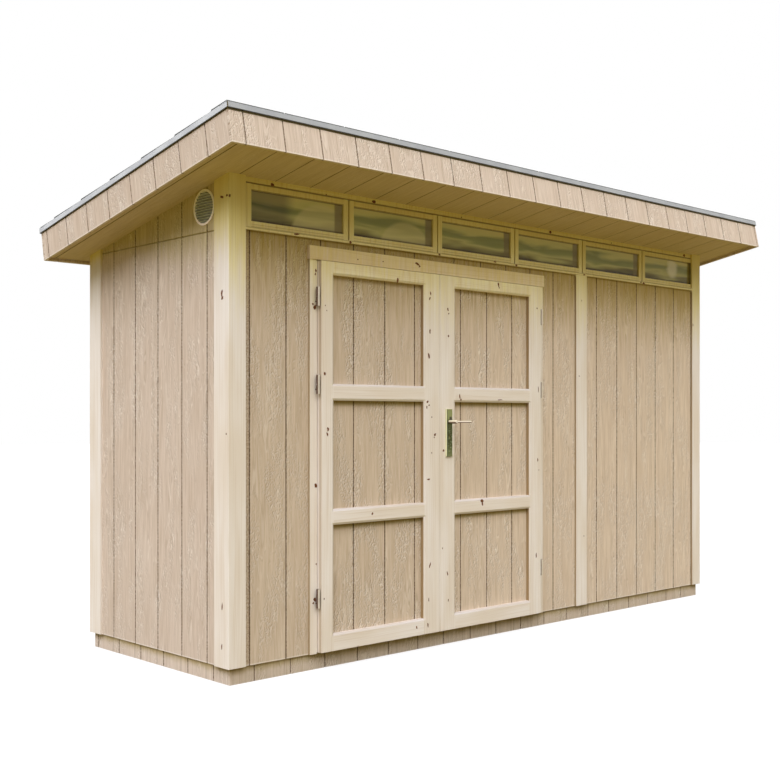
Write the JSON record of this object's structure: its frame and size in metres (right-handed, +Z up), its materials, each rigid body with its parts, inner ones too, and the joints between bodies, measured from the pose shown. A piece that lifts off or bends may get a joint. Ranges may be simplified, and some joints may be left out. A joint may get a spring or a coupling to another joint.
{
  "type": "garden shed",
  "caption": "Long timber garden shed with a single-slope roof, panelled double doors with a lever handle, a band of high windows and round side vents.",
  "frame": {"origin": "ground level, under the middle of the roof's outline", "axes": "+X along the long walls, towards the right as seen from the doors; -Y out of the doors; +Z up"},
  "size_m": [4.166, 1.6576, 2.4434],
  "materials": {
    "siding": "primed, embossed grain",
    "trim": "raw pine",
    "sash": "raw pine",
    "glass": "clear",
    "fascia": "primed, embossed grain",
    "framing": "sawn",
    "sheet_board": "sheathing board",
    "door_pine": "planed pine",
    "door_panel": "primed, embossed grain",
    "hinge_steel": "zinc plated",
    "handle_metal": "satin",
    "covering": "mineral granules on felt",
    "edge_metal": "satin",
    "vent_plastic": "matte"
  },
  "bodies": {
    "shed": {"front_panel_left": "siding", "front_panel_over_door": "siding", "front_panel_right": "siding", "front_panel_end": "siding", "back_panels": "siding", "left_panel": "siding", "left_gable_panel": "siding", "right_panel": "siding", "right_gable_panel": "siding", "skirt": "siding", "corner_posts": "trim", "mid_posts": "trim", "window_trims": "trim", "door_head": "trim", "door_jambs": "trim", "door_stops": "trim", "window_stiles": "sash", "window_rails": "sash", "window_panes": "glass", "fascia_front": "fascia", "fascia_back": "fascia", "fascia_sides": "fascia", "soffits": "fascia", "wall_plates": "framing", "wall_studs": "framing", "rafters": "framing", "floor_bearers": "framing", "floor_deck": "sheet_board", "roof_deck": "sheet_board", "frame_hinges": "hinge_steel", "roof_covering": "covering", "drip_edges": "edge_metal", "side_vents": "vent_plastic"},
    "left_leaf": {"left_leaf_stiles": "door_pine", "left_leaf_rails": "door_pine", "left_leaf_panels": "door_panel", "left_leaf_hinges": "hinge_steel"},
    "right_leaf": {"right_leaf_stiles": "door_pine", "right_leaf_rails": "door_pine", "right_leaf_panels": "door_panel", "right_leaf_hinges": "hinge_steel", "handle_plates": "handle_metal"},
    "lever": {"door_lever": "handle_metal"}
  },
  "joints": [
    {"name": "left_leaf_swing", "type": "hinge", "parent": "shed", "child": "left_leaf", "pos_m": [-1.3885, -0.53687, 1], "axis": [0, 0, -1], "range_deg": [0, 110]},
    {"name": "right_leaf_swing", "type": "hinge", "parent": "shed", "child": "right_leaf", "pos_m": [0.2205, -0.53687, 1], "axis": [0, 0, 1], "range_deg": [0, 110]},
    {"name": "lever_turn", "type": "hinge", "parent": "right_leaf", "child": "lever", "pos_m": [-0.531, -0.52237, 1.143], "axis": [0, 1, 0], "range_deg": [0, 40], "stiffness_Nm_per_rad": 1, "springref_deg": -22.92}
  ]
}
